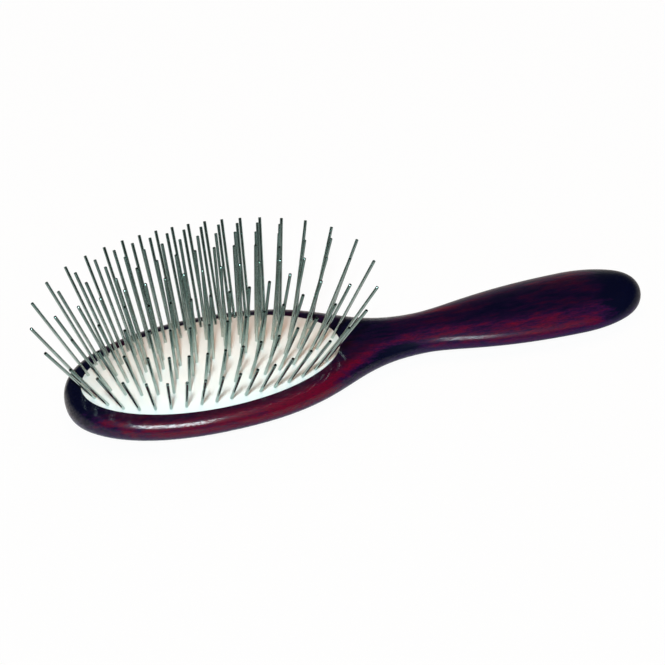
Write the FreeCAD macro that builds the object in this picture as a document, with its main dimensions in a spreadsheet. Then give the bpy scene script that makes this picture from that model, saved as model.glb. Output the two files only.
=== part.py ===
import FreeCAD, Part
import math
import os

# Oval cushion pin brush, lying on its back with the pins up
# Millimetres. X runs along the brush towards the butt of the handle, Z is up.
# The origin is on the resting plane, below the middle of the cushion.

Vector = FreeCAD.Vector
doc = FreeCAD.newDocument("PinBrush")

# Driving sizes
sheet = doc.addObject("Spreadsheet::Sheet", "Sizes")
drivingSizes = [
    # Plan of the wood, with distances measured from the middle of the cushion
    ("overallLength", 220.0),
    ("headReach", 54.7),
    ("headWidth", 60.2),
    ("widestSetback", 1.0),
    ("neckDistance", 78.7),
    ("neckWidth", 19.6),
    ("palmDistance", 138.2),
    ("palmWidth", 32.8),
    # How full each curve of the plan is, as a share of its own run
    ("tipFullness", 0.61),
    ("shoulderFullness", 0.62),
    ("neckApproach", 0.40),
    ("neckRun", 0.20),
    ("palmFullness", 0.59),
    ("buttFullness", 0.57),
    # Section of the wood
    ("headThickness", 11.9),
    ("rimDrop", 5.2),
    ("rimRound", 6.0),
    ("backRound", 20.0),
    ("backCrown", 0.3),
    ("neckThickness", 10.5),
    ("neckLift", 1.05),
    ("palmThickness", 12.0),
    ("palmLift", 0.1),
    # Rounded ends: share of the end curve they take, and how fast they fill out
    ("tipRoundShare", 0.36),
    ("tipRoundFullness", 0.75),
    ("buttRoundShare", 0.5),
    ("buttRoundFullness", 0.6),
    # Pocket for the cushion and the undercut that holds its lip
    ("pocketLength", 96.4),
    ("pocketWidth", 48.4),
    ("pocketDepth", 5.4),
    ("grooveDepth", 1.6),
    ("grooveHeight", 1.8),
    # Rubber cushion
    ("edgeClearance", 0.1),
    ("lipClearance", 0.1),
    ("domeRise", 7.7),
    ("rubberThickness", 1.6),
    ("skirtThickness", 1.2),
    # Steel pins
    ("wireDiameter", 1.15),
    ("pinLength", 38.6),
    ("pinHeadDiameter", 2.0),
    ("pinHeadThickness", 0.5),
    ("holeClearance", 0.04),
    ("headSeatGap", 0.06),
    # Rings of pins
    ("edgeMargin", 2.5),
    ("ringSquareness", 2.2),
    ("endSpread", 0.18),
    ("outerPins", 38),
    ("secondPins", 32),
    ("thirdPins", 26),
    ("fourthPins", 20),
    ("centrePins", 9),
    # Room beyond the last pin of the middle row, in shares of its pitch
    ("centreEndRoom", 0.15),
    # Lean of the pins, as run over rise: near the middle, and what the edge adds
    ("endLean", 0.20),
    ("endLeanGain", 0.39),
    ("sideLean", 0.94),
    ("sideLeanLoss", 0.18),
]
for row, (alias, value) in enumerate(drivingSizes, start=1):
    sheet.set("A%d" % row, alias)
    sheet.set("B%d" % row, str(value))
    sheet.setAlias("B%d" % row, alias)
doc.recompute()

size = {alias: float(sheet.get(alias)) for alias, _ in drivingSizes}

# Faces round one pin: few, because there are well over a hundred of them
pinSides = 6
# Strips in each rounded quarter of the wood's section
stripsPerQuarter = 4
# Smallest flat between the two rounded sides of a section, as a share of its half width
landShare = 0.04
# Rings of pins, counting the middle row, and steps that space the pins round a ring
ringCount = 5
walkSteps = 1440
# Flat panels along and across the dome, and how far they run past its oval edge
panelsAlong = 12
panelsAcross = 8
panelOverrun = 1.04
# Steps that bring a pin's head up under the rubber
seatSteps = 12


def bind(item, **expressions):
    """Ties properties of an object to the sheet."""
    for name, expression in expressions.items():
        item.setExpression(name, expression)
    return item


# Wooden body

def planRuns():
    """Half of the outline seen from above, as six cubic curves from tip to butt."""
    tip = -size["headReach"]
    butt = tip + size["overallLength"]
    widest = -size["widestSetback"]
    neck = size["neckDistance"]
    palm = size["palmDistance"]
    headHalf = size["headWidth"] / 2
    neckHalf = size["neckWidth"] / 2
    palmHalf = size["palmWidth"] / 2
    head = [
        (tip, 0.0),
        (tip, size["tipFullness"] * headHalf),
        (widest - size["tipFullness"] * (widest - tip), headHalf),
        (widest, headHalf),
    ]
    shoulder = [
        (widest, headHalf),
        (widest + size["shoulderFullness"] * (neck - widest), headHalf),
        (neck - size["neckApproach"] * (neck - widest), neckHalf),
        (neck, neckHalf),
    ]
    grip = [
        (neck, neckHalf),
        (neck + size["neckRun"] * (palm - neck), neckHalf),
        (palm - size["palmFullness"] * (palm - neck), palmHalf),
        (palm, palmHalf),
    ]
    end = [
        (palm, palmHalf),
        (palm + size["buttFullness"] * (butt - palm), palmHalf),
        (butt, size["buttFullness"] * palmHalf),
        (butt, 0.0),
    ]
    tipRound, headSide = splitRun(head, size["tipRoundShare"])
    palmSide, buttRound = splitRun(end, 1 - size["buttRoundShare"])
    return [tipRound, headSide, shoulder, grip, palmSide, buttRound]


def splitRun(poles, share):
    """The poles of the two parts of a cubic curve cut at a share of its way."""
    curve = Part.BezierCurve()
    curve.setPoles([Vector(x, y, 0) for x, y in poles])
    parts = []
    for start, end in ((0.0, share), (share, 1.0)):
        part = curve.copy()
        part.segment(start, end)
        parts.append([(pole.x, pole.y) for pole in part.getPoles()])
    return parts


def sectionSizes():
    """Height of the widest line, rise above it, depth below it and both edge rounds."""
    lowerHead = size["headThickness"] - size["rimDrop"]
    halfNeck = size["neckThickness"] / 2
    halfPalm = size["palmThickness"] / 2
    head = (
        lowerHead,
        size["rimDrop"],
        lowerHead + size["backCrown"],
        size["rimRound"],
        size["backRound"],
    )
    # Neck and palm are plain ovals, rounded over their whole width
    neck = (size["neckLift"] + halfNeck, halfNeck, halfNeck, None, None)
    palm = (size["palmLift"] + halfPalm, halfPalm, halfPalm, None, None)
    return head, neck, palm


def sectionRails(x, half, sizes, swell):
    """Points round one section: down the near side, then up the far side."""
    level, rise, depth, topRound, backRound = sizes
    widestRound = half * (1 - landShare)
    topLand = half - min(topRound or half, widestRound)
    backLand = half - min(backRound or half, widestRound)
    quarter = []
    for step in range(stripsPerQuarter + 1):
        turn = step / stripsPerQuarter * math.pi / 2
        quarter.append((math.sin(turn), math.cos(turn)))
    down = [
        (topLand + (half - topLand) * out, level + rise * swell * up) for out, up in quarter
    ]
    for out, up in reversed(quarter[:-1]):
        down.append((backLand + (half - backLand) * out, level - depth * swell * up))
    near = [Vector(x, y, z) for y, z in down]
    far = [Vector(x, -y, z) for y, z in reversed(down)]
    return near + far


def woodBlank():
    """The carved body before its pocket is cut: strips that run smoothly along it."""
    head, neck, palm = sectionSizes()
    full = (1, 1, 1, 1)
    ends = [
        (head, head, (0, size["tipRoundFullness"], 1, 1)),
        (head, head, full),
        (head, neck, full),
        (neck, palm, full),
        (palm, palm, full),
        (palm, palm, (1, 1, size["buttRoundFullness"], 0)),
    ]
    strips = []
    for run, (start, end, swells) in zip(planRuns(), ends):
        sections = []
        for (x, half), sizes, swell in zip(run, (start, start, end, end), swells):
            sections.append(sectionRails(x, max(half, 0.0), sizes, swell))
        rails = list(zip(*sections))
        for rail, nextRail in zip(rails, rails[1:] + rails[:1]):
            surface = Part.BezierSurface()
            surface.increase(3, 1)
            for row, (pole, nextPole) in enumerate(zip(rail, nextRail), start=1):
                surface.setPole(row, 1, pole)
                surface.setPole(row, 2, nextPole)
            strips.append(surface.toShape())
    shell = Part.Shell(strips)
    shell.sewShape()
    return Part.Solid(shell)


blank = doc.addObject("Part::Feature", "WoodBlank")
blank.Shape = woodBlank()


def ovalBlock(name, length, width, bottom, height):
    """An upright oval block whose sizes are expressions on the sheet."""
    oval = doc.addObject("Part::Ellipse", name + "Outline")
    bind(oval, MajorRadius=length + " / 2", MinorRadius=width + " / 2")
    bind(oval, **{"Placement.Base.z": bottom})
    block = doc.addObject("Part::Extrusion", name)
    block.Base = oval
    block.DirMode = "Custom"
    block.Dir = Vector(0, 0, 1)
    block.Solid = True
    return bind(block, LengthFwd=height)


def boolean(kind, name, first, second):
    item = doc.addObject("Part::" + kind, name)
    item.Base = first
    item.Tool = second
    return item


def fusion(name, pieces):
    item = doc.addObject("Part::MultiFuse", name)
    item.Shapes = pieces
    return item


pocketFloor = "(Sizes.headThickness - Sizes.pocketDepth)"
pocket = ovalBlock(
    "Pocket",
    "Sizes.pocketLength",
    "Sizes.pocketWidth",
    pocketFloor,
    "Sizes.pocketDepth + Sizes.rimDrop",
)
groove = ovalBlock(
    "LipGroove",
    "(Sizes.pocketLength + 2 * Sizes.grooveDepth)",
    "(Sizes.pocketWidth + 2 * Sizes.grooveDepth)",
    pocketFloor,
    "Sizes.grooveHeight",
)
# The crown of the back is sanded flat where the brush lies on it
backTrim = bind(
    doc.addObject("Part::Box", "BackTrim"),
    Length="Sizes.overallLength",
    Width="Sizes.headWidth",
    Height="Sizes.rimDrop",
)
bind(
    backTrim,
    **{
        "Placement.Base.x": "-Sizes.headReach",
        "Placement.Base.y": "-Sizes.headWidth / 2",
        "Placement.Base.z": "-Sizes.rimDrop",
    }
)
woodenBody = boolean(
    "Cut", "WoodenBody", blank, fusion("WoodCuts", [pocket, groove, backTrim])
)
woodenBody.Label = "wooden_body"


# Rubber cushion

def cushionHalf():
    return (
        size["pocketLength"] / 2 - size["edgeClearance"],
        size["pocketWidth"] / 2 - size["edgeClearance"],
    )


def panelEdges(half, panels):
    reach = half * panelOverrun
    return [reach * (2 * edge / panels - 1) for edge in range(panels + 1)]


def archDrop(place, half, panels):
    """How far one arch of the dome has fallen at a place, in straight panels."""
    edges = panelEdges(half, panels)
    for low, high in zip(edges, edges[1:]):
        if place <= high or high == edges[-1]:
            break
    share = (place - low) / (high - low)
    return size["domeRise"] * (low ** 2 * (1 - share) + high ** 2 * share) / half ** 2


def domeHeight(x, y):
    """A long arch carried along a cross arch, so every panel between them is flat."""
    halfLength, halfWidth = cushionHalf()
    top = size["headThickness"] + size["domeRise"]
    return top - archDrop(x, halfLength, panelsAlong) - archDrop(y, halfWidth, panelsAcross)


def domeBlock():
    """A block under the panels of the dome, down to the floor of the pocket."""
    halfLength, halfWidth = cushionHalf()
    along = panelEdges(halfLength, panelsAlong)
    across = panelEdges(halfWidth, panelsAcross)
    floor = size["headThickness"] - size["pocketDepth"] - size["domeRise"]

    def panel(corners):
        return Part.Face(Part.makePolygon(corners + corners[:1]))

    def onDome(x, y):
        return Vector(x, y, domeHeight(x, y))

    faces = []
    for x0, x1 in zip(along, along[1:]):
        for y0, y1 in zip(across, across[1:]):
            faces.append(panel([onDome(x0, y0), onDome(x1, y0), onDome(x1, y1), onDome(x0, y1)]))
    for y in (across[0], across[-1]):
        ridge = [onDome(x, y) for x in along]
        faces.append(panel(ridge + [Vector(along[-1], y, floor), Vector(along[0], y, floor)]))
    for x in (along[0], along[-1]):
        ridge = [onDome(x, y) for y in across]
        faces.append(panel(ridge + [Vector(x, across[-1], floor), Vector(x, across[0], floor)]))
    faces.append(panel([
        Vector(along[0], across[0], floor),
        Vector(along[-1], across[0], floor),
        Vector(along[-1], across[-1], floor),
        Vector(along[0], across[-1], floor),
    ]))
    shell = Part.Shell(faces)
    shell.sewShape()
    return Part.Solid(shell)


domeOutside = doc.addObject("Part::Feature", "DomeOutside")
domeOutside.Shape = domeBlock()
domeInside = doc.addObject("Part::Feature", "DomeInside")
domeInside.Shape = domeOutside.Shape
bind(domeInside, **{"Placement.Base.z": "-Sizes.rubberThickness"})

aboveFloor = "Sizes.pocketDepth + 2 * Sizes.domeRise"
skirtOutside = ovalBlock(
    "SkirtOutside",
    "(Sizes.pocketLength - 2 * Sizes.edgeClearance)",
    "(Sizes.pocketWidth - 2 * Sizes.edgeClearance)",
    pocketFloor,
    aboveFloor,
)
skirtInside = ovalBlock(
    "SkirtInside",
    "(Sizes.pocketLength - 2 * Sizes.edgeClearance - 2 * Sizes.skirtThickness)",
    "(Sizes.pocketWidth - 2 * Sizes.edgeClearance - 2 * Sizes.skirtThickness)",
    pocketFloor,
    aboveFloor,
)
lip = ovalBlock(
    "Lip",
    "(Sizes.pocketLength + 2 * Sizes.grooveDepth - 2 * Sizes.lipClearance)",
    "(Sizes.pocketWidth + 2 * Sizes.grooveDepth - 2 * Sizes.lipClearance)",
    pocketFloor,
    "Sizes.grooveHeight - Sizes.lipClearance",
)
crown = boolean("Common", "Crown", domeOutside, skirtOutside)
airChamber = boolean("Common", "AirChamber", domeInside, skirtInside)
sheetRubber = boolean("Cut", "RubberSheet", fusion("CrownWithLip", [crown, lip]), airChamber)


# Places of the pins

def ringPoints(ring, count):
    """Seats of one ring: an oval inside the rim, its pins a little wider apart at the ends."""
    halfLength, halfWidth = cushionHalf()
    margin = size["edgeMargin"]
    inward = margin + (ring - 1) * (halfWidth - margin) / (ringCount - 1)
    if ring == ringCount:
        reach = halfLength - inward
        pitch = 2 * reach / (count - 1 + 2 * size["centreEndRoom"])
        return [((i - (count - 1) / 2) * pitch, 0.0) for i in range(count)]
    power = 2 / size["ringSquareness"]
    walk = []
    for step in range(walkSteps + 1):
        turn = 2 * math.pi * step / walkSteps - math.pi / 2
        cosine, sine = math.cos(turn), math.sin(turn)
        walk.append((
            math.copysign(abs(cosine) ** power, cosine) * (halfLength - inward),
            math.copysign(abs(sine) ** power, sine) * (halfWidth - inward),
        ))
    travelled = [0.0]
    for (x0, y0), (x1, y1) in zip(walk, walk[1:]):
        closeness = 1 - size["endSpread"] * ((x0 + x1) / 2 / halfLength) ** 2
        travelled.append(travelled[-1] + math.hypot(x1 - x0, y1 - y0) * closeness)
    # Odd rings straddle the short axis and even rings start on it
    shift = 0.5 * (ring % 2)
    seats = []
    step = 0
    for i in range(count):
        goal = (i + shift) * travelled[-1] / count
        while travelled[step + 1] < goal:
            step += 1
        part = (goal - travelled[step]) / (travelled[step + 1] - travelled[step])
        (x0, y0), (x1, y1) = walk[step], walk[step + 1]
        seats.append((x0 + part * (x1 - x0), y0 + part * (y1 - y0)))
    return seats


def pinPlacement(x, y):
    """Where a pin sits: its own Z along the pin, zero where the head meets the rubber."""
    halfLength, halfWidth = cushionHalf()
    along, across = x / halfLength, y / halfWidth
    lean = Vector(
        size["endLean"] * along + size["endLeanGain"] * along ** 3,
        size["sideLean"] * across - size["sideLeanLoss"] * across ** 3,
        1.0,
    ).normalize()
    turn = FreeCAD.Rotation(Vector(0, 0, 1), lean)
    corners = []
    for corner in range(pinSides):
        angle = 2 * math.pi * corner / pinSides
        reach = size["pinHeadDiameter"] / 2
        corners.append(turn.multVec(Vector(reach * math.cos(angle), reach * math.sin(angle), 0)))
    # Lower the head until its highest corner is just clear of the inner face
    surface = Vector(x, y, domeHeight(x, y))
    depth = size["rubberThickness"]
    for _ in range(seatSteps):
        excess = []
        for corner in corners:
            point = surface - lean * depth + corner
            excess.append(point.z - domeHeight(point.x, point.y) + size["rubberThickness"])
        depth += max(excess) + size["headSeatGap"]
    return FreeCAD.Placement(surface - lean * depth, turn)


rings = [
    ("outer_ring_pins", "outerPins"),
    ("second_ring_pins", "secondPins"),
    ("third_ring_pins", "thirdPins"),
    ("fourth_ring_pins", "fourthPins"),
    ("centre_row_pins", "centrePins"),
]
seatings = []
for number, (label, counter) in enumerate(rings, start=1):
    points = ringPoints(number, int(size[counter]))
    seatings.append([pinPlacement(x, y) for x, y in points])


# Holes through the rubber, one for each pin

def prism(name, radius, height, bottom):
    """An upright bar with pinSides faces, its sizes bound to the sheet."""
    bar = doc.addObject("Part::Prism", name)
    bar.Polygon = pinSides
    return bind(
        bar, Circumradius=radius, Height=height, **{"Placement.Base.z": bottom}
    )


throughRubber = "2 * Sizes.rubberThickness + Sizes.pinHeadDiameter"
holeTool = prism(
    "HoleTool",
    "Sizes.wireDiameter / 2 + Sizes.holeClearance",
    throughRubber,
    "-Sizes.rubberThickness / 2",
)
shank = prism("Shank", "Sizes.wireDiameter / 2", "Sizes.pinLength", "0")
pinHead = prism(
    "PinHead", "Sizes.pinHeadDiameter / 2", "Sizes.pinHeadThickness", "-Sizes.pinHeadThickness"
)
pin = fusion("Pin", [shank, pinHead])
doc.recompute()


def placedCopies(shape, placements):
    copies = []
    for placement in placements:
        copies.append(shape.transformed(placement.toMatrix(), True))
    return Part.makeCompound(copies)


holes = doc.addObject("Part::Feature", "PinHoles")
holes.Shape = placedCopies(holeTool.Shape, [place for ring in seatings for place in ring])
cushion = boolean("Cut", "RubberCushion", sheetRubber, holes)
cushion.Label = "rubber_cushion"

pinGroups = []
for (label, _), placements in zip(rings, seatings):
    group = doc.addObject("Part::Feature", label.title().replace("_", ""))
    group.Label = label
    group.Shape = placedCopies(pin.Shape, placements)
    pinGroups.append(group)

doc.recompute()

# Checks, then one file for each piece
nodes = [woodenBody, cushion] + pinGroups
for item in doc.Objects:
    if "Invalid" in item.State or "Error" in item.State:
        raise RuntimeError("%s did not recompute: %s" % (item.Name, item.State))
for node in nodes:
    if node.Shape.isNull() or not node.Shape.isValid():
        raise RuntimeError("%s has no valid shape" % node.Label)

os.makedirs("parts", exist_ok=True)
for node in nodes:
    node.Shape.exportStep("parts/%s.step" % node.Label)
    print(
        "%s: %d solids, %.1f cubic mm" % (node.Label, len(node.Shape.Solids), node.Shape.Volume)
    )
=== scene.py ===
import math

import bmesh
import bpy
from mathutils import Matrix, Vector


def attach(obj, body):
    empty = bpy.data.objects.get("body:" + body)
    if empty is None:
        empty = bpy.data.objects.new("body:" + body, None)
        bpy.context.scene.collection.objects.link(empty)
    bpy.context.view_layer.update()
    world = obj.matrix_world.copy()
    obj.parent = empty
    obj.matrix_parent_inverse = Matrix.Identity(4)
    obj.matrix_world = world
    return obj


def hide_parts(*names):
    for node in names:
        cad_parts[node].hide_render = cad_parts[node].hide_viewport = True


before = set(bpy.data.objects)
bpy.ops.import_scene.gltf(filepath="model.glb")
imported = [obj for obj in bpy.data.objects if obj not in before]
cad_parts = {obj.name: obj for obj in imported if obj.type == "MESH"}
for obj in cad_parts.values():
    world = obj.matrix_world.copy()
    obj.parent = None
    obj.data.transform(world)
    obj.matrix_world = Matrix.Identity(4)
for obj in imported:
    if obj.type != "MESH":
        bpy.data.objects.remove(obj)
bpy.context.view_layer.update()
mm = 0.001
sharpAngle = math.radians(40)  # edges steeper than this stay sharp

# Camera

cameraSettings = {
    "azimuth": -13.83,  # degrees
    "elevation": 41.31,
    "roll": -2.21,
    "target": (60.0, 0.0, 11.9),  # mm
    "distance": 930.1,  # mm
    "lens": 136.47,  # mm
    "sensor": 36.0,  # mm
    "shift": (-0.0563, -0.0014),
}


def placeCamera(settings):
    azimuth = math.radians(settings["azimuth"])
    elevation = math.radians(settings["elevation"])
    level = math.cos(elevation)
    back = Vector((math.sin(azimuth) * level, -math.cos(azimuth) * level, math.sin(elevation)))
    lens = bpy.data.cameras.new("lens")
    lens.lens = settings["lens"]
    lens.sensor_width = settings["sensor"]
    lens.shift_x, lens.shift_y = settings["shift"]
    camera = bpy.data.objects.new("camera", lens)
    bpy.context.scene.collection.objects.link(camera)
    turn = back.to_track_quat("Z", "Y").to_matrix().to_4x4()
    place = Matrix.Translation((Vector(settings["target"]) + back * settings["distance"]) * mm)
    camera.matrix_world = place @ turn @ Matrix.Rotation(math.radians(settings["roll"]), 4, "Z")
    bpy.context.scene.camera = camera


placeCamera(cameraSettings)
print("camera placed")


# Shader maths: an expression on Value objects adds its Math nodes


class Value:
    def __init__(self, finish, socket):
        self.finish = finish
        self.socket = socket

    def maths(self, operation, first, second):
        return self.finish.node("ShaderNodeMath", {"operation": operation}, {0: first, 1: second})

    def __add__(self, other):
        return self.maths("ADD", self, other)

    __radd__ = __add__

    def __sub__(self, other):
        return self.maths("SUBTRACT", self, other)

    def __rsub__(self, other):
        return self.maths("SUBTRACT", other, self)

    def __mul__(self, other):
        return self.maths("MULTIPLY", self, other)

    __rmul__ = __mul__

    def __truediv__(self, other):
        return self.maths("DIVIDE", self, other)

    def __rtruediv__(self, other):
        return self.maths("DIVIDE", other, self)

    def atMost(self, other):
        return self.maths("MINIMUM", self, other)

    def ramp(self, low, high):
        # Smooth step from 0 at low to 1 at high, which may be the smaller one
        limits = {"Value": self, "From Min": low, "From Max": high}
        return self.finish.node("ShaderNodeMapRange", {"interpolation_type": "SMOOTHSTEP"}, limits)


class Finish:
    def __init__(self, name):
        self.material = bpy.data.materials.new(name)
        self.material.use_nodes = True
        self.tree = self.material.node_tree
        self.tree.nodes.clear()
        self.output = self.tree.nodes.new("ShaderNodeOutputMaterial")

    def node(self, kind, settings=None, inputs=None, output=0):
        made = self.tree.nodes.new(kind)
        for key, setting in (settings or {}).items():
            if key == "stops":
                self.setStops(made.color_ramp, setting)
            else:
                setattr(made, key, setting)
        for key, given in (inputs or {}).items():
            if isinstance(given, Value):
                self.tree.links.new(given.socket, made.inputs[key])
            else:
                made.inputs[key].default_value = given
        return Value(self, made.outputs[output])

    def setStops(self, ramp, stops):
        while len(ramp.elements) < len(stops):
            ramp.elements.new(1.0)
        for element, (position, colour) in zip(ramp.elements, stops):
            element.position = position
            element.color = (*colour, 1.0)

    def mix(self, factor, first, second):
        colours = {0: factor}
        for key, colour in ((6, first), (7, second)):
            colours[key] = colour if isinstance(colour, Value) else (*colour, 1.0)
        return self.node("ShaderNodeMix", {"data_type": "RGBA"}, colours, output=2)

    def objectPlace(self):
        return self.node("ShaderNodeTexCoord", output="Object")

    def axes(self, place, names):
        return [self.node("ShaderNodeSeparateXYZ", None, {0: place}, name) for name in names]

    def noise(self, place, cells, detail=2.0, roughness=0.5):
        # Cloudy noise, with its cells a metre along each axis
        stretched = self.node("ShaderNodeMapping", None, {"Vector": place, "Scale": cells})
        inputs = {"Vector": stretched, "Scale": 1.0, "Detail": detail, "Roughness": roughness}
        return self.node("ShaderNodeTexNoise", None, inputs)

    def bump(self, height, strength, distance):
        inputs = {"Height": height, "Strength": strength, "Distance": distance}
        return self.node("ShaderNodeBump", None, inputs)

    def surface(self, **inputs):
        # Socket names in camelCase: coatIOR is Coat IOR
        named = {}
        for key, given in inputs.items():
            words = key[0].upper() + "".join(" " + c if c.isupper() else c for c in key[1:])
            named[words.replace("I O R", "IOR")] = given
        shader = self.node("ShaderNodeBsdfPrincipled", None, named)
        self.tree.links.new(shader.socket, self.output.inputs["Surface"])
        return self.material


# Stained and lacquered wood

woodFinish = {
    "navy": (0.0012, 0.0018, 0.0130),
    "plum": (0.0190, 0.0026, 0.0330),
    "crimson": (0.1200, 0.0009, 0.0150),
    "violet": (0.0200, 0.0060, 0.0640),
    # noise cells a metre
    "broad": (24.0, 90.0, 90.0),
    "streak": (130.0, 640.0, 640.0),
    "pore": (700.0, 2400.0, 2400.0),
    # share of the broad noise, share of the streaks, start
    "mottle": (0.6, 0.8, -0.05),
    # metres over which each tone comes in, and what it adds to the warmth
    "tipEnd": (-0.034, -0.050),
    "buttEnd": (0.142, 0.160),
    "endWarmth": -0.34,
    "neckFrom": (0.036, 0.050),
    "neckTo": (0.086, 0.068),
    "neckHeight": (0.0110, 0.0088),
    "neckWarmth": -0.30,
    "frontSide": (0.006, -0.020),
    "frontTo": (0.075, 0.045),
    "frontWarmth": 0.20,
    "gripSide": (0.006, -0.008),
    "gripFrom": (0.060, 0.080),
    "gripWarmth": 0.06,
    # warmth at which the stain is each colour
    "navyAt": 0.53,
    "plumAt": 0.66,
    "crimsonAt": 0.92,
    # heights in metres over which a tone comes in, and its share; the lip tone is painted shade
    # along the rim's top
    "underHeight": (0.0082, 0.0052),
    "underShare": 0.8,
    "lipShadeHeight": (0.0108, 0.0118),
    "lipShadeShare": 0.7,
    # noise over which the pores come in
    "grainPores": (0.40, 0.70),
    "grainShare": 0.4,
    "coatPores": (0.38, 0.60),
    "coatLeast": 0.25,
    "wornFrom": (0.060, 0.090),  # metres over which the handle's lacquer gets duller
    "wornShare": 0.62,
}


def woodWarmth(finish, place, s):
    # Dark ends, a dark front edge at the neck, and a warmer front rim and grip
    x, y, z = finish.axes(place, "XYZ")
    broad = finish.noise(place, s["broad"])
    streaks = finish.noise(place, s["streak"], detail=5.0, roughness=0.7)
    broadShare, streakShare, first = s["mottle"]
    ends = x.ramp(*s["tipEnd"]) + x.ramp(*s["buttEnd"])
    neck = x.ramp(*s["neckFrom"]) * x.ramp(*s["neckTo"]) * z.ramp(*s["neckHeight"])
    front = y.ramp(*s["frontSide"]) * x.ramp(*s["frontTo"])
    grip = y.ramp(*s["gripSide"]) * x.ramp(*s["gripFrom"])
    warmth = broad * broadShare + streaks * streakShare + first
    warmth = warmth + front * s["frontWarmth"] + grip * s["gripWarmth"]
    return warmth + ends * s["endWarmth"] + neck * s["neckWarmth"]


def lacqueredWood(s):
    finish = Finish("lacquered_wood")
    place = finish.objectPlace()
    x, z = finish.axes(place, "XZ")
    pores = finish.noise(place, s["pore"])
    stops = [(s[name + "At"], s[name]) for name in ("navy", "plum", "crimson")]
    stain = finish.node("ShaderNodeValToRGB", {"stops": stops}, {0: woodWarmth(finish, place, s)})
    # Violet under the widest line, and painted shade: navy along the top of the rim at the lip of
    # the pocket
    shaded = finish.mix(z.ramp(*s["underHeight"]) * s["underShare"], stain, s["violet"])
    shaded = finish.mix(z.ramp(*s["lipShadeHeight"]) * s["lipShadeShare"], shaded, s["navy"])
    grain = finish.mix(pores.ramp(*s["grainPores"]) * s["grainShare"], shaded, s["navy"])
    closed = pores.ramp(*s["coatPores"]) * (1.0 - s["coatLeast"]) + s["coatLeast"]
    return finish.surface(
        baseColor=grain,
        roughness=0.40,
        specularIORLevel=0.05,
        coatWeight=closed * (1.0 - x.ramp(*s["wornFrom"]) * s["wornShare"]),
        coatRoughness=0.13,
        coatIOR=1.40,
        normal=finish.bump(pores, 0.2, 0.0002),
    )


# White moulded rubber

rubberFinish = {
    "cream": (0.88, 0.86, 0.82),
    "cool": (0.77, 0.88, 0.88),
    "oval": (0.0481, 0.0241),  # metres, half length and half width of the pad
    "coolFrom": (0.70, 1.0),  # square of the share of the way out to the oval
    "coolShare": 0.5,
    "cloud": (60.0, 60.0, 60.0),  # noise cells a metre
    "cloudShare": 0.2,
    "fine": (900.0, 900.0, 900.0),
    "roughness": 0.38,
    "roughnessShare": 0.1,
}


def whiteRubber(s):
    finish = Finish("white_rubber")
    place = finish.objectPlace()
    x, y = finish.axes(place, "XY")
    length, width = s["oval"]
    outward = (x * x / (length * length) + y * y / (width * width)).ramp(*s["coolFrom"])
    cloud = finish.noise(place, s["cloud"])
    fine = finish.noise(place, s["fine"])
    coolness = outward * s["coolShare"] + cloud * s["cloudShare"]
    return finish.surface(
        baseColor=finish.mix(coolness, s["cream"], s["cool"]),
        roughness=fine * s["roughnessShare"] + s["roughness"],
        normal=finish.bump(fine, 0.15, 0.0002),
    )


# Drawn steel wire

steelFinish = {
    "pale": (0.56, 0.64, 0.61),
    "deep": (0.130, 0.215, 0.195),
    "edge": (0.48, 0.54, 0.52),
    "tipShadeHeights": (0.020, 0.050),  # heights in metres over which painted shade darkens the wire toward its tips
    "tipShadeShare": 0.7,
    "drawn": (160.0, 160.0, 60.0),  # noise cells a metre
    "drawnShare": 0.3,
    "roughness": 0.07,
    "roughnessShare": 0.06,
}


def drawnSteel(s):
    finish = Finish("drawn_steel")
    place = finish.objectPlace()
    (z,) = finish.axes(place, "Z")
    drawn = finish.noise(place, s["drawn"])
    # Painted shade, darker toward the tips, plus the random tone of the drawn noise
    shadeAndDrawnTone = z.ramp(*s["tipShadeHeights"]) * s["tipShadeShare"] + drawn * s["drawnShare"]
    return finish.surface(
        baseColor=finish.mix(shadeAndDrawnTone.atMost(1.0), s["pale"], s["deep"]),
        metallic=1.0,
        specularTint=(*s["edge"], 1.0),
        roughness=drawn * s["roughnessShare"] + s["roughness"],
    )


# Pieces


def addPiece(name, mesh, material, slot, *nodes):
    for face in mesh.faces:
        face.smooth = True
    data = bpy.data.meshes.new(name)
    mesh.to_mesh(data)
    mesh.free()
    data.set_sharp_from_angle(angle=sharpAngle)
    data.materials.append(material)
    piece = bpy.data.objects.new(name, data)
    bpy.context.scene.collection.objects.link(piece)
    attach(piece, "root")
    if nodes:
        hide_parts(*nodes)
    return piece


gridWeld = 0.002  # mm, closes the seam and the poles


def bentGrid(rows, columns, place):
    # A flat grid, bent so that its vertex in row i and column j goes to place(i, j)
    mesh = bmesh.new()
    bmesh.ops.create_grid(mesh, x_segments=rows - 1, y_segments=columns - 1, size=1.0)
    for vertex in mesh.verts:
        i = round((vertex.co.x + 1) / 2 * (rows - 1))
        j = round((vertex.co.y + 1) / 2 * (columns - 1))
        vertex.co = Vector(place(i, j)) * mm
    bmesh.ops.remove_doubles(mesh, verts=mesh.verts, dist=gridWeld * mm)
    bmesh.ops.recalc_face_normals(mesh, faces=mesh.faces)
    return mesh


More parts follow.
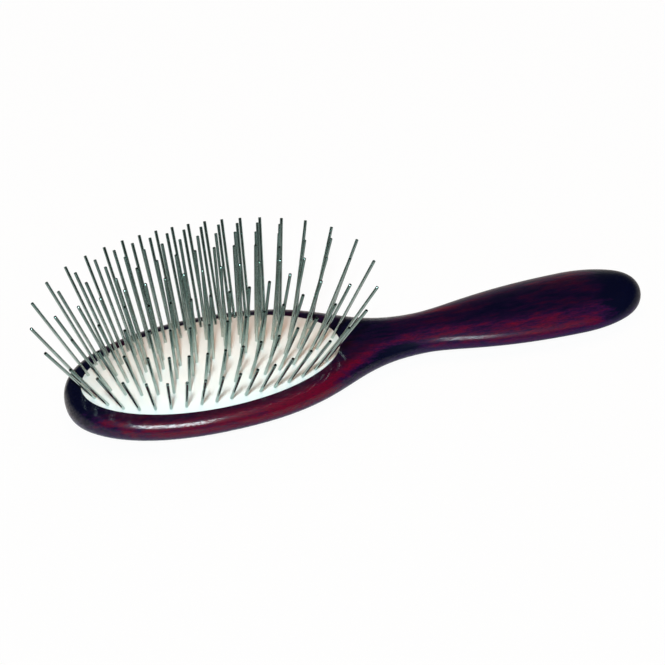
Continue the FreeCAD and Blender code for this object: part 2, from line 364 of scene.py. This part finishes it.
woodShape = {
    # mm
    "tip": -54.7,
    "widest": -1.0,
    "neck": 78.7,
    "palm": 138.2,
    "butt": 165.3,
    "headHalf": 30.1,
    "neckHalf": 9.8,
    "palmHalf": 16.4,
    # shares of a run's length or half width
    "tipFullness": 0.61,
    "shoulderFullness": 0.62,
    "neckApproach": 0.40,
    "neckRun": 0.20,
    "palmFullness": 0.59,
    "buttFullness": 0.57,
    "tipSplit": 0.36,
    "buttSplit": 0.5,
    # mm: height of the widest line, height above it, depth below it
    "head": (6.7, 5.2, 7.0),
    "neckOval": (6.3, 5.25, 5.25),
    "palmOval": (6.1, 6.0, 6.0),
    "rimRound": 6.0,
    "backRound": 20.0,
    "landShare": 0.04,  # least flat, as a share of the half width
    "tipSwell": 0.75,  # share of the full height near the tip
    "buttSwell": 0.6,
    "pocket": (48.2, 24.2, 6.5),  # mm: half length, half width, height of the floor
    "pocketSides": 160,
    "pocketReach": 12.0,  # mm, from the floor to above the rim
    "stepsPerRun": 26,
    "stepsPerQuarter": 14,
}


def between(first, second, share):
    return tuple(a + (b - a) * share for a, b in zip(first, second))


def splitRun(run, share):
    # De Casteljau: the two halves of a cubic run
    first, last = [run[0]], [run[-1]]
    while len(run) > 1:
        run = [between(a, b, share) for a, b in zip(run, run[1:])]
        first.append(run[0])
        last.insert(0, run[-1])
    return first, last


def alongRun(run, share):
    while len(run) > 1:
        run = [between(a, b, share) for a, b in zip(run, run[1:])]
    return run[0]


def woodRuns(s):
    # Cubic runs of x, half width, height, rise, depth, top land and back land
    head, neck, palm = s["headHalf"], s["neckHalf"], s["palmHalf"]
    tipRun = [
        (s["tip"], 0.0),
        (s["tip"], s["tipFullness"] * head),
        (s["widest"] - s["tipFullness"] * (s["widest"] - s["tip"]), head),
        (s["widest"], head),
    ]
    shoulderRun = [
        (s["widest"], head),
        (s["widest"] + s["shoulderFullness"] * (s["neck"] - s["widest"]), head),
        (s["neck"] - s["neckApproach"] * (s["neck"] - s["widest"]), neck),
        (s["neck"], neck),
    ]
    gripRun = [
        (s["neck"], neck),
        (s["neck"] + s["neckRun"] * (s["palm"] - s["neck"]), neck),
        (s["palm"] - s["palmFullness"] * (s["palm"] - s["neck"]), palm),
        (s["palm"], palm),
    ]
    buttRun = [
        (s["palm"], palm),
        (s["palm"] + s["buttFullness"] * (s["butt"] - s["palm"]), palm),
        (s["butt"], s["buttFullness"] * palm),
        (s["butt"], 0.0),
    ]
    plans = [*splitRun(tipRun, s["tipSplit"]), shoulderRun, gripRun]
    plans += splitRun(buttRun, s["buttSplit"])
    full = (1.0, 1.0, 1.0, 1.0)
    heads = (s["head"], s["rimRound"], s["backRound"])
    necks = (s["neckOval"], None, None)
    palms = (s["palmOval"], None, None)
    kinds = [(heads, heads), (heads, heads), (heads, necks), (necks, palms), (palms, palms)]
    kinds.append((palms, palms))
    swells = [(0.0, s["tipSwell"], 1.0, 1.0), full, full, full, full]
    swells.append((1.0, 1.0, s["buttSwell"], 0.0))
    runs = []
    for plan, (start, end), swell in zip(plans, kinds, swells):
        run = []
        for pole, (x, half) in enumerate(plan):
            (level, rise, depth), topRound, backRound = start if pole < 2 else end
            most = half * (1 - s["landShare"])
            top = half - min(topRound or half, most)
            back = half - min(backRound or half, most)
            run.append((x, half, level, rise * swell[pole], depth * swell[pole], top, back))
        runs.append(run)
    return runs


def woodMesh(s):
    stations = []
    for number, run in enumerate(woodRuns(s)):
        for step in range(0 if number == 0 else 1, s["stepsPerRun"] + 1):
            stations.append(alongRun(run, step / s["stepsPerRun"]))
    quarter = s["stepsPerQuarter"]
    around = []
    for side in (1, -1):
        arc = [(side, "top", k / quarter) for k in range(quarter + 1)]
        arc += [(side, "back", 1 - k / quarter) for k in range(1, quarter + 1)]
        around += arc if side == 1 else arc[::-1]
    around.append(around[0])

    def place(i, j):
        x, half, level, rise, depth, top, back = stations[i]
        side, where, share = around[j]
        land, height = (top, rise) if where == "top" else (back, -depth)
        turn = share * math.pi / 2
        return (
            x,
            side * (land + (half - land) * math.sin(turn)),
            max(level + height * math.cos(turn), 0.0),
        )

    return bentGrid(len(stations), len(around), place)


def cutPocket(piece, s):
    halfLength, halfWidth, floor = s["pocket"]
    height = s["pocketReach"]
    cutter = bmesh.new()
    bmesh.ops.create_cone(
        cutter,
        cap_ends=True,
        cap_tris=False,
        segments=s["pocketSides"],
        radius1=1.0,
        radius2=1.0,
        depth=1.0,
        matrix=Matrix.Translation((0, 0, (floor + height / 2) * mm))
        @ Matrix.Diagonal((halfLength * mm, halfWidth * mm, height * mm, 1.0)),
    )
    data = bpy.data.meshes.new("pocket_cutter")
    cutter.to_mesh(data)
    cutter.free()
    tool = bpy.data.objects.new("pocket_cutter", data)
    bpy.context.scene.collection.objects.link(tool)
    cut = piece.modifiers.new("pocket", "BOOLEAN")
    cut.operation = "DIFFERENCE"
    cut.solver = "EXACT"
    cut.object = tool
    shaped = bpy.data.meshes.new_from_object(
        piece.evaluated_get(bpy.context.evaluated_depsgraph_get())
    )
    piece.modifiers.clear()
    piece.data = shaped
    bpy.data.objects.remove(tool)
    shaped.shade_smooth()
    shaped.set_sharp_from_angle(angle=sharpAngle)


wood = addPiece(
    "carved_wood", woodMesh(woodShape), lacqueredWood(woodFinish), "dark_wood", "wooden_body"
)
cutPocket(wood, woodShape)
print("wood made")


cushionShape = {
    # mm
    "halfLength": 48.1,
    "halfWidth": 24.1,
    "rise": 7.7,
    "rubber": 1.6,
    "skirt": 1.2,
    "rim": 11.9,
    "floor": 6.5,
    "lipTop": 8.2,
    "lipReach": 1.6,
    "domeSteps": 48,
    "around": 192,
}


def cushionMesh(s):
    def dome(x, y, inset):
        # A long arch carried along a cross arch
        fall = (x / s["halfLength"]) ** 2 + (y / s["halfWidth"]) ** 2
        return s["rim"] + s["rise"] * (1 - fall) - inset

    steps = s["domeSteps"]
    rows = [("dome", step / steps, 0.0) for step in range(steps + 1)]
    rows += [
        ("oval", 0.0, s["lipTop"]),
        ("oval", s["lipReach"], s["lipTop"]),
        ("oval", s["lipReach"], s["floor"]),
        ("oval", -s["skirt"], s["floor"]),
    ]
    rows += [("dome", 1 - step / steps, s["rubber"]) for step in range(steps + 1)]

    def place(i, j):
        kind, share, value = rows[i]
        turn = 2 * math.pi * j / s["around"]
        length, width = s["halfLength"], s["halfWidth"]
        if kind == "oval":
            return (length + share) * math.cos(turn), (width + share) * math.sin(turn), value
        inset = s["skirt"] if value else 0.0
        x = (length - inset) * share * math.cos(turn)
        y = (width - inset) * share * math.sin(turn)
        return x, y, dome(x, y, value)

    return bentGrid(len(rows), s["around"] + 1, place)


addPiece(
    "rubber_pad",
    cushionMesh(cushionShape),
    whiteRubber(rubberFinish),
    "white_rubber",
    "rubber_cushion",
)
print("cushion made")


pinShape = {
    # mm
    "wire": 1.15,
    "sides": 14,
    "tipRound": 0.14,
    "head": 2.0,
    "headThickness": 0.5,
    "weld": 0.01,
}


def wireEnds(node):
    # Root and tip of every pin in a node, read from its solids
    mesh = bmesh.new()
    mesh.from_mesh(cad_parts[node].data)
    bmesh.ops.remove_doubles(mesh, verts=mesh.verts, dist=pinShape["weld"] * mm)
    ends = []
    waiting = set(mesh.verts)
    while waiting:
        island, edge = set(), [next(iter(waiting))]
        while edge:
            vertex = edge.pop()
            if vertex in island:
                continue
            island.add(vertex)
            edge += [link.other_vert(vertex) for link in vertex.link_edges]
        waiting -= island
        points = [vertex.co.copy() for vertex in island]
        middle = (min(p.z for p in points) + max(p.z for p in points)) / 2
        upper = [p for p in points if p.z > middle]
        lower = [p for p in points if p.z <= middle]
        ends.append((sum(lower, Vector()) / len(lower), sum(upper, Vector()) / len(upper)))
    mesh.free()
    return sorted(ends, key=lambda pair: tuple(pair[1]))


def pinMesh(ends, s):
    mesh = bmesh.new()
    radius, headRadius = s["wire"] / 2 * mm, s["head"] / 2 * mm
    for root, tip in ends:
        length = (tip - root).length
        turn = (tip - root).to_track_quat("Z", "Y").to_matrix().to_4x4()
        for centre, height, wide in (
            (length / 2, length, radius),
            (0.0, s["headThickness"] * mm, headRadius),
        ):
            made = bmesh.ops.create_cone(
                mesh,
                cap_ends=True,
                cap_tris=False,
                segments=s["sides"],
                radius1=wide,
                radius2=wide,
                depth=height,
                matrix=Matrix.Translation(root) @ turn @ Matrix.Translation((0, 0, centre)),
            )
            if wide == radius:
                rim = [v for v in made["verts"] if (v.co - tip).length < 2 * radius]
                edges = [e for e in mesh.edges if e.verts[0] in rim and e.verts[1] in rim]
                bmesh.ops.bevel(
                    mesh,
                    geom=edges,
                    offset=s["tipRound"] * mm,
                    segments=1,
                    profile=0.5,
                    affect="EDGES",
                    material=-1,
                )
    return mesh


steel = drawnSteel(steelFinish)
for node in (
    "outer_ring_pins",
    "second_ring_pins",
    "third_ring_pins",
    "fourth_ring_pins",
    "centre_row_pins",
):
    name = node.replace("pins", "wires")
    addPiece(name, pinMesh(wireEnds(node), pinShape), steel, "pin_steel", node)
print("pins made")


# Floor, backdrop and light

stageSettings = {
    "radius": 3.0,  # metres
    "wall": 0.75,
    "sides": 96,
    "drop": 0.00005,  # keeps the floor clear of the flat back
    "white": (0.82, 0.82, 0.82),
    "shown": 0.95,  # share of plain white that the camera sees
    "mirrored": 0.3,  # share of it in reflections, which also show the shadow
}


def paleStage(settings):
    finish = Finish("pale_floor")
    lightPath = [
        finish.node("ShaderNodeLightPath", output=name)
        for name in ("Is Camera Ray", "Is Glossy Ray", "Is Transmission Ray")
    ]
    seen = lightPath[0] * settings["shown"]
    seen = (seen + (lightPath[1] + lightPath[2]) * settings["mirrored"]).atMost(1.0)
    lit = finish.node("ShaderNodeBsdfDiffuse", None, {0: (*settings["white"], 1.0)})
    plain = finish.node("ShaderNodeEmission", None, {0: (1.0, 1.0, 1.0, 1.0), 1: 1.0})
    shader = finish.node("ShaderNodeMixShader", None, {0: seen, 1: lit, 2: plain})
    finish.tree.links.new(shader.socket, finish.output.inputs["Surface"])
    mesh = bmesh.new()
    bmesh.ops.create_circle(
        mesh, cap_ends=True, cap_tris=False, segments=settings["sides"], radius=settings["radius"]
    )
    rim = [edge for edge in mesh.edges if edge.is_boundary]
    wall = bmesh.ops.extrude_edge_only(mesh, edges=rim)
    raised = [item for item in wall["geom"] if isinstance(item, bmesh.types.BMVert)]
    bmesh.ops.translate(mesh, vec=(0, 0, settings["wall"]), verts=raised)
    bmesh.ops.translate(mesh, vec=(0, 0, -settings["drop"]), verts=mesh.verts)
    data = bpy.data.meshes.new("pale_floor")
    mesh.to_mesh(data)
    mesh.free()
    data.materials.append(finish.material)
    floor = bpy.data.objects.new("pale_floor", data)
    bpy.context.scene.collection.objects.link(floor)


lampSettings = {
    # lights: the lamp lights dull surfaces. mirrored: it shows in gloss and steel
    "softbox": {
        "toward": (-0.17, -0.57, 0.81),
        "distance": 2.5,
        "size": (1.15, 0.90),
        "power": 104.0,
        "colour": (0.84, 0.97, 1.0),
        "lights": False,
        "mirrored": True,
    },
    "key": {
        "toward": (-0.14, -0.65, 0.75),
        "distance": 2.5,
        "size": (0.15, 0.15),
        "power": 57.0,
        "colour": (0.80, 0.96, 1.0),
        "lights": True,
        "mirrored": False,
    },
    "fill": {
        "toward": (0.1, 0.2, 0.97),
        "distance": 1.4,
        "size": (1.0, 1.0),
        "power": 10.5,
        "colour": (1.0, 0.57, 0.38),
        "lights": True,
        "mirrored": False,
    },
}


def addLamps(settings):
    for name, lamp in settings.items():
        light = bpy.data.lights.new(name + "_lamp", "AREA")
        light.shape = "RECTANGLE"
        light.size, light.size_y = lamp["size"]
        light.energy = lamp["power"]
        light.color = lamp["colour"]
        body = bpy.data.objects.new(name + "_lamp", light)
        body.visible_diffuse = lamp["lights"]
        body.visible_glossy = lamp["mirrored"]
        bpy.context.scene.collection.objects.link(body)
        toward = Vector(lamp["toward"]).normalized()
        turn = toward.to_track_quat("Z", "Y").to_matrix().to_4x4()
        body.matrix_world = Matrix.Translation(toward * lamp["distance"]) @ turn


roomSettings = {
    "colour": (1.0, 1.0, 1.0),
    "strength": 0.03,
}


def darkRoom(settings):
    world = bpy.data.worlds.new("room")
    bpy.context.scene.world = world
    world.use_nodes = True
    background = world.node_tree.nodes["Background"]
    background.inputs["Color"].default_value = (*settings["colour"], 1.0)
    background.inputs["Strength"].default_value = settings["strength"]


paleStage(stageSettings)
addLamps(lampSettings)
darkRoom(roomSettings)
bpy.context.scene.view_settings.view_transform = "Standard"
print("stage and light made")
